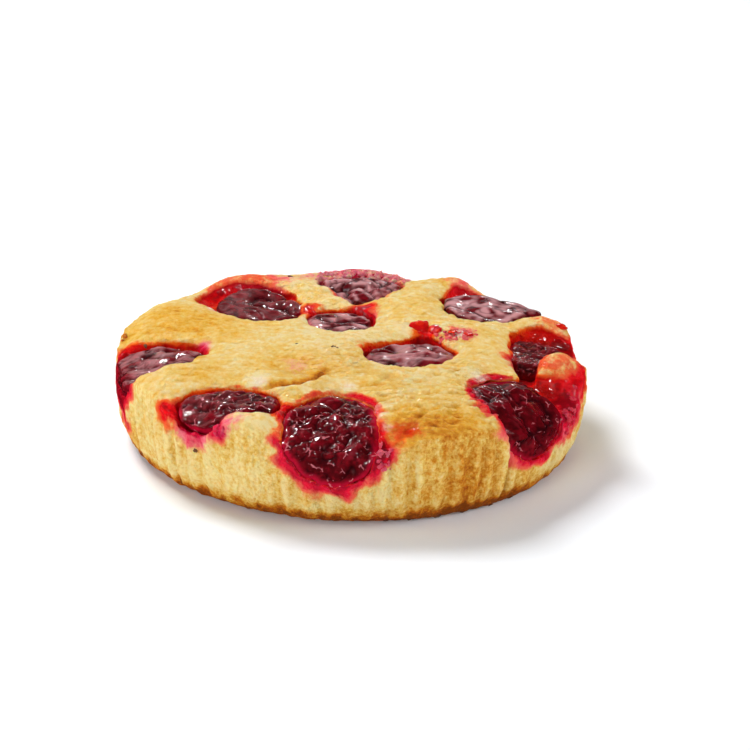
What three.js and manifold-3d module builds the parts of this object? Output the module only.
// A small round cherry cake, baked in a pleated paper case and taken out of it: one sponge with
// pleats pressed into its wall, and whole stoned cherries that sank into the batter.
// Millimetres, +Z up. The origin is the middle of the flat base, on the surface it stands on,
// and the side that faces -Y is the front.
import * as THREE from "three";
import { mergeVertices } from "three/addons/utils/BufferGeometryUtils.js";
import Module from "manifold-3d";

// Driving dimensions of the sponge.
const CAKE_RADIUS = 50; // of the wall at its widest, half way up
const CROWN_HEIGHT = 21.3; // of the crust between the cherries
const DOME_RISE = 0.9; // how much the middle stands above that
const DOME_SPREAD = 26;
const SHOULDER_START = 38.5; // radius where the crust begins to round over
const SHOULDER_REACH = 12.5; // from there to the top of the wall
const SHOULDER_DROP = 5; // how far it comes down over that reach
const LIP_DROP = 1.3; // how far the crust bends down to the edge of an opening
const LIP_REACH = 2.4; // over this distance
const PLEATS = 84; // pressed into the wall by the paper case
const PLEAT_DEPTH = 0.4;

// Driving dimensions of the fruit and its places in the sponge.
const CLEARANCE = 0.35; // between a cherry and its pocket in the sponge
const CASE_GAP = 0.5; // how far a cherry that shows at the side lies inside the wall
const CASE_PRESS = 2.2; // over this distance the case rounded it off
const CHERRY_DENT = 0.06; // how uneven a cherry is round its waist, as a share of its size

// How far in an opening's wall lies at parts of the way up from its floor to the crust.
const OPENING_WALL = [
  { up: 0, size: 0.74 },
  { up: 0.3, size: 0.91 },
  { up: 1, size: 1 },
  { up: 4, size: 1.05 },
];

// How finely the surfaces are divided.
const POINTS_PER_PLEAT = 3;
const CROWN_CELLS = 34;
const CHERRY_SIDES = 16;
const CHERRY_RINGS = 9;
const OPENING_POINTS = 20;

// The wall's radius over its height, from the rounded foot to above the crust.
const WALL = [
  { z: 0, radius: 44.6 },
  { z: 0.5, radius: 46.1 },
  { z: 1.7, radius: 47.5 },
  { z: 5, radius: 49 },
  { z: 12, radius: CAKE_RADIUS },
  { z: 18, radius: 49.9 },
  { z: 28, radius: 49.4 },
];

// The cherries. Each has the middle of its waist on the plan, the turn of its long axis and the
// dip of that axis's far end in degrees, its half length and half width, the height of its
// waist, and how far it rises above the waist and hangs below it. A baked cherry is flatter
// above than below. The opening is the edge of the crust round it, as a smooth closed line, and
// the floor is the height down to which the batter is open there.
const CHERRIES = [
  {
    name: "cherry_left",
    at: [-41, -10.6], turn: 186, dip: 2, half: [12, 9], waist: 16.8, rise: 2.9, hang: 4.8, floor: 16.4,
    opening: [
      [-30, -5.6], [-32.4, -11], [-38, -16], [-44, -19],
      [-58, -25], [-58, -1], [-44, -1.4], [-33.6, -1.8],
    ],
  },
  {
    name: "cherry_back_left",
    at: [-20.8, 22.8], turn: 100, dip: 0, half: [10.4, 9.6], waist: 17.6, rise: 4.3, hang: 7, floor: 17,
    opening: [
      [-31, 19], [-26.5, 13.6], [-19, 11.6], [-12.8, 14], [-11.4, 20.5],
      [-13.4, 30], [-19, 35], [-28, 36], [-36.4, 32], [-35.4, 25],
    ],
  },
  {
    name: "cherry_small",
    at: [-3, 13.6], turn: 90, dip: 0, half: [7.8, 7.6], waist: 17.6, rise: 4, hang: 6, floor: 17.6,
    opening: [
      [-10.4, 15], [-8, 8.6], [-3, 5.8], [2, 7.6],
      [4.8, 13], [4.2, 18.5], [0.5, 21.5], [-6, 20.5],
    ],
  },
  {
    name: "cherry_back",
    at: [1.5, 35.8], turn: 5, dip: 0, half: [9.8, 8.6], waist: 17.2, rise: 3.9, hang: 7, floor: 16.6,
    opening: [
      [-8.8, 41], [-6.8, 35], [-2.8, 29.6], [1, 24.4], [5.5, 29],
      [10, 35], [11.5, 40], [6, 43], [-2, 43],
    ],
  },
  {
    name: "cherry_middle",
    at: [12.6, -4.4], turn: 8, dip: 0, half: [10.4, 7.6], waist: 17.5, rise: 3.7, hang: 6, floor: 17.4,
    opening: [
      [2.2, -3.4], [4, -10.4], [9.5, -13], [15, -11.6], [20, -8],
      [22.6, -3], [20, 1], [15.5, 6.2], [11, 3], [4.5, 0.6],
    ],
  },
  {
    name: "cherry_back_right",
    at: [30, 24.6], turn: -8, dip: 0, half: [10.4, 8.6], waist: 18, rise: 4.4, hang: 7.4, floor: 16.6,
    opening: [
      [20, 23], [23, 18.4], [29, 17.4], [36, 18.6], [45, 20],
      [44, 28], [35, 34], [30, 38.5], [23, 38.5], [19.8, 31],
    ],
  },
  {
    name: "cherry_right",
    at: [38.4, 4.4], turn: 80, dip: 0, half: [8.8, 7.2], waist: 14.9, rise: 3.9, hang: 6, floor: 15.4,
    opening: [
      [34.4, 12], [38.4, 13.8], [45, 13.4], [58, 10], [58, -1], [45, -2.6],
      [40.6, -4], [38.8, -9.5], [38, -15], [35, -15.5], [34, -6], [33.6, 4],
    ],
  },
  {
    name: "cherry_front_right",
    at: [33.6, -28], turn: -39, dip: 10, half: [11.2, 10.8], waist: 17.7, rise: 3, hang: 9.2, floor: 14.4,
    opening: [
      [24, -22.6], [29, -20], [34, -15.6], [40, -12.6], [46, -13.6], [58, -16.5],
      [56, -36], [41, -54], [33.5, -44], [31.4, -36.5], [28, -29],
    ],
  },
  {
    name: "cherry_front_right_upper",
    at: [30.4, -19.8], turn: 25, dip: 0, half: [7.6, 6], waist: 16, rise: 4.2, hang: 5, floor: 16.4,
    opening: [
      [24, -22.6], [28, -19.6], [34, -15.8],
      [37, -19], [34, -24], [28, -27],
    ],
  },
  {
    name: "cherry_front_left",
    at: [-24.8, -33.4], turn: 199, dip: 0, half: [11, 7], waist: 17.8, rise: 2.9, hang: 4.2, floor: 16.6,
    opening: [
      [-36.6, -34], [-32, -28.4], [-26, -26.2], [-19, -26.8], [-14, -31],
      [-14.2, -38], [-20.5, -39.4], [-26, -40.6], [-31, -48], [-42, -45],
    ],
  },
  {
    name: "cherry_front",
    at: [-3.2, -42], turn: -90, dip: 11, half: [12.6, 9.9], waist: 17.9, rise: 2.9, hang: 9.4, floor: 15.2,
    opening: [
      [-13, -38.4], [-10.4, -33], [-6, -29], [-1.6, -28.6], [2.4, -32.5],
      [5, -39], [6, -47], [6.4, -58], [-13, -58], [-13.6, -46],
    ],
  },
];

// Lobes where the batter rose highest between the cherries: centre, half width, extra height.
const LOBES = [
  { at: [-11, 33.5], spread: 5, rise: 0.8 },
  { at: [14, 27], spread: 8, rise: 0.9 },
  { at: [42.5, 17.5], spread: 5, rise: 2.4 },
  { at: [43.6, -7.8], spread: 4.4, rise: 2.6 },
  { at: [-20.5, -43.5], spread: 5, rise: 1.8 },
  { at: [20, -33], spread: 11, rise: 0.7 },
  { at: [23.4, 42], spread: 5.6, rise: 2.4 },
  { at: [2, 47], spread: 7, rise: 1.4 },
  { at: [-27, 38], spread: 7, rise: 2.0 },
  { at: [-40, 12], spread: 9, rise: 0.7 },
  { at: [-38, -25], spread: 7, rise: 0.8 },
];

// Dimples in the crust: the dent that holds a spot of jam, a fold, and a low place in the rim.
const DIMPLES = [
  { at: [9.5, -46.5], spread: 3.2, drop: 2.6 },
  { at: [-11, -22], spread: 3, drop: 0.9 },
  { at: [14.5, 46], spread: 2, drop: 3.4 },
];

const UP = new THREE.Vector3(0, 0, 1);
const ACROSS = new THREE.Vector3(0, 1, 0); // to a cherry's long axis, before it is turned

const wasm = await Module();
wasm.setup();

// A closed geometry as a solid that can be joined and cut.
function solidOf(geometry) {
  const bare = new THREE.BufferGeometry();
  bare.setAttribute("position", geometry.getAttribute("position"));
  bare.setIndex(geometry.index);
  const merged = mergeVertices(bare, 1e-4);
  return new wasm.Manifold(
    new wasm.Mesh({
      numProp: 3,
      vertProperties: merged.attributes.position.array,
      triVerts: new Uint32Array(merged.index.array),
    }),
  );
}

// A solid as a geometry that a mesh can show.
function geometryOf(solid) {
  const mesh = solid.getMesh();
  const geometry = new THREE.BufferGeometry();
  geometry.setAttribute("position", new THREE.BufferAttribute(mesh.vertProperties, 3));
  geometry.setIndex(new THREE.BufferAttribute(mesh.triVerts, 1));
  geometry.computeVertexNormals();
  return geometry;
}

// Moves every vertex of a geometry to where the rule says.
function reshape(geometry, rule) {
  const position = geometry.getAttribute("position");
  const point = new THREE.Vector3();
  for (let i = 0; i < position.count; i += 1) {
    point.fromBufferAttribute(position, i);
    rule(point);
    position.setXYZ(i, point.x, point.y, point.z);
  }
  return geometry;
}

// The smooth closed line through an opening's points.
function openingLine({ opening }) {
  const corners = opening.map(([x, y]) => new THREE.Vector3(x, y, 0));
  const line = new THREE.CatmullRomCurve3(corners, true).getPoints(OPENING_POINTS);
  return line.slice(0, OPENING_POINTS).map(({ x, y }) => new THREE.Vector2(x, y));
}

const OPENING_LINES = CHERRIES.map(openingLine);

// How far a point on the plan lies outside a closed line, or 0 inside it.
function distanceOutside(line, x, y) {
  let inside = false;
  let nearest = Infinity;
  for (let i = 0; i < line.length; i += 1) {
    const a = line[i];
    const b = line[(i + 1) % line.length];
    const along = ((x - a.x) * (b.x - a.x) + (y - a.y) * (b.y - a.y)) / a.distanceToSquared(b);
    const share = THREE.MathUtils.clamp(along, 0, 1);
    const offX = x - a.x - share * (b.x - a.x);
    const offY = y - a.y - share * (b.y - a.y);
    nearest = Math.min(nearest, Math.hypot(offX, offY));
    const crosses = a.y > y !== b.y > y && x < a.x + ((y - a.y) / (b.y - a.y)) * (b.x - a.x);
    if (crosses) inside = !inside;
  }
  return inside ? 0 : nearest;
}

// A soft bump of height 1 in the middle.
function bump({ at, spread }, x, y) {
  return Math.exp(-((x - at[0]) ** 2 + (y - at[1]) ** 2) / (spread * spread));
}

// The height of the crust over the plan.
function crustHeight(x, y) {
  const radius = Math.hypot(x, y);
  const over = Math.max(0, (radius - SHOULDER_START) / SHOULDER_REACH);
  const shoulder = 1 - Math.sqrt(1 - Math.min(over, 1) ** 2) + Math.max(0, over - 1);
  let height = CROWN_HEIGHT + DOME_RISE * Math.exp(-((radius / DOME_SPREAD) ** 2));
  height -= SHOULDER_DROP * shoulder;
  for (const lobe of LOBES) height += lobe.rise * bump(lobe, x, y);
  for (const dimple of DIMPLES) height -= dimple.drop * bump(dimple, x, y);
  let lip = 0;
  for (const line of OPENING_LINES) {
    lip = Math.max(lip, Math.exp(-((distanceOutside(line, x, y) / LIP_REACH) ** 2)));
  }
  return height - LIP_DROP * lip;
}

// The crust over a round plate of batter that is wider than the cake and reaches below its base.
function makeCrust() {
  const reach = CAKE_RADIUS + 3;
  const underside = -4;
  const plate = new THREE.BoxGeometry(2, 2, 2, CROWN_CELLS, CROWN_CELLS, 1);
  reshape(plate, (point) => {
    const { x: u, y: v } = point;
    point.x = reach * u * Math.sqrt(1 - (v * v) / 2);
    point.y = reach * v * Math.sqrt(1 - (u * u) / 2);
    point.z = point.z > 0 ? crustHeight(point.x, point.y) : underside;
  });
  return solidOf(plate);
}

// The wall that the pleated paper case gave: an outline of uneven pleats, widened by height.
function makeWall() {
  const outline = [];
  for (let i = 0; i < PLEATS * POINTS_PER_PLEAT; i += 1) {
    const turn = (2 * Math.PI * i) / (PLEATS * POINTS_PER_PLEAT);
    const angle = turn + 0.014 * Math.sin(13 * turn) + 0.01 * Math.sin(29 * turn + 1);
    const depth = PLEAT_DEPTH * (1 + 0.35 * Math.sin(7 * turn + 2) + 0.25 * Math.sin(17 * turn));
    const radius = CAKE_RADIUS + depth * Math.cos(PLEATS * turn);
    outline.push(new THREE.Vector2(radius * Math.cos(angle), radius * Math.sin(angle)));
  }
  const steps = WALL.length - 1;
  const wall = new THREE.ExtrudeGeometry(new THREE.Shape(outline), {
    depth: steps,
    steps,
    bevelEnabled: false,
  });
  reshape(wall, (point) => {
    const level = WALL[Math.round(point.z)];
    const widen = level.radius / CAKE_RADIUS;
    point.set(point.x * widen, point.y * widen, level.z);
  });
  return solidOf(wall);
}

// The wall's radius at a height, without its pleats.
function wallRadius(z) {
  const above = Math.max(1, WALL.findIndex((level) => level.z >= z));
  const [low, high] = [WALL[above - 1], WALL[above]];
  return THREE.MathUtils.mapLinear(z, low.z, high.z, low.radius, high.radius);
}

// A cherry's rounded, slightly collapsed shape, or the larger shape of the pocket it left.
// The paper case kept the fruit itself inside the wall.
function makeCherry(cherry, growth) {
  const fruit = new THREE.SphereGeometry(1, CHERRY_SIDES, CHERRY_RINGS);
  const turn = THREE.MathUtils.degToRad(cherry.turn);
  const dip = THREE.MathUtils.degToRad(cherry.dip);
  const middle = new THREE.Vector3(...cherry.at, cherry.waist);
  fruit.rotateX(Math.PI / 2);
  reshape(fruit, (point) => {
    const side = 3 * Math.atan2(point.y, point.x) + cherry.turn;
    const dent = 1 + CHERRY_DENT * Math.cos(side) * (1 - point.z ** 2);
    const tall = point.z > 0 ? cherry.rise : cherry.hang;
    point.x *= dent * (cherry.half[0] + growth);
    point.y *= dent * (cherry.half[1] + growth);
    point.z *= tall + growth;
    point.applyAxisAngle(ACROSS, dip).applyAxisAngle(UP, turn).add(middle);
    const reach = Math.hypot(point.x, point.y);
    const limit = wallRadius(point.z) - CASE_GAP;
    const pressed = (reach - limit) / CASE_PRESS + 1;
    if (growth === 0 && pressed > 0) {
      const held = limit - CASE_PRESS * Math.exp(-pressed);
      point.x *= held / reach;
      point.y *= held / reach;
    }
  });
  return solidOf(fruit);
}

// What is open above a cherry: its opening's line, drawn in towards the cherry further down.
function makeOpening(cherry, line) {
  const steps = OPENING_WALL.length - 1;
  const hole = new THREE.ExtrudeGeometry(new THREE.Shape(line), { depth: steps, steps, bevelEnabled: false });
  reshape(hole, (point) => {
    const { up, size } = OPENING_WALL[Math.round(point.z)];
    point.x = THREE.MathUtils.lerp(cherry.at[0], point.x, size);
    point.y = THREE.MathUtils.lerp(cherry.at[1], point.y, size);
    point.z = THREE.MathUtils.lerp(cherry.floor, CROWN_HEIGHT - LIP_DROP, up);
  });
  return solidOf(hole);
}

function makeSponge() {
  let sponge = makeWall().intersect(makeCrust());
  CHERRIES.forEach((cherry, i) => {
    sponge = sponge.subtract(makeCherry(cherry, CLEARANCE));
    sponge = sponge.subtract(makeOpening(cherry, OPENING_LINES[i]));
  });
  return sponge;
}

const spongeFinish = new THREE.MeshStandardMaterial({ color: 0xe9c377, roughness: 0.7, metalness: 0 });
const cherryFinish = new THREE.MeshStandardMaterial({ color: 0x3d0712, roughness: 0.25, metalness: 0 });

const cake = new THREE.Group();

function addPiece(name, solid, finish) {
  const piece = new THREE.Mesh(geometryOf(solid), finish);
  piece.name = name;
  cake.add(piece);
}

addPiece("sponge", makeSponge(), spongeFinish);

// Where two cherries press on each other, the later one in the list is the dented one.
let pressed = null;
for (const cherry of CHERRIES) {
  const fruit = makeCherry(cherry, 0);
  addPiece(cherry.name, pressed ? fruit.subtract(pressed) : fruit, cherryFinish);
  const grown = makeCherry(cherry, CLEARANCE);
  pressed = pressed ? pressed.add(grown) : grown;
}

export default cake;
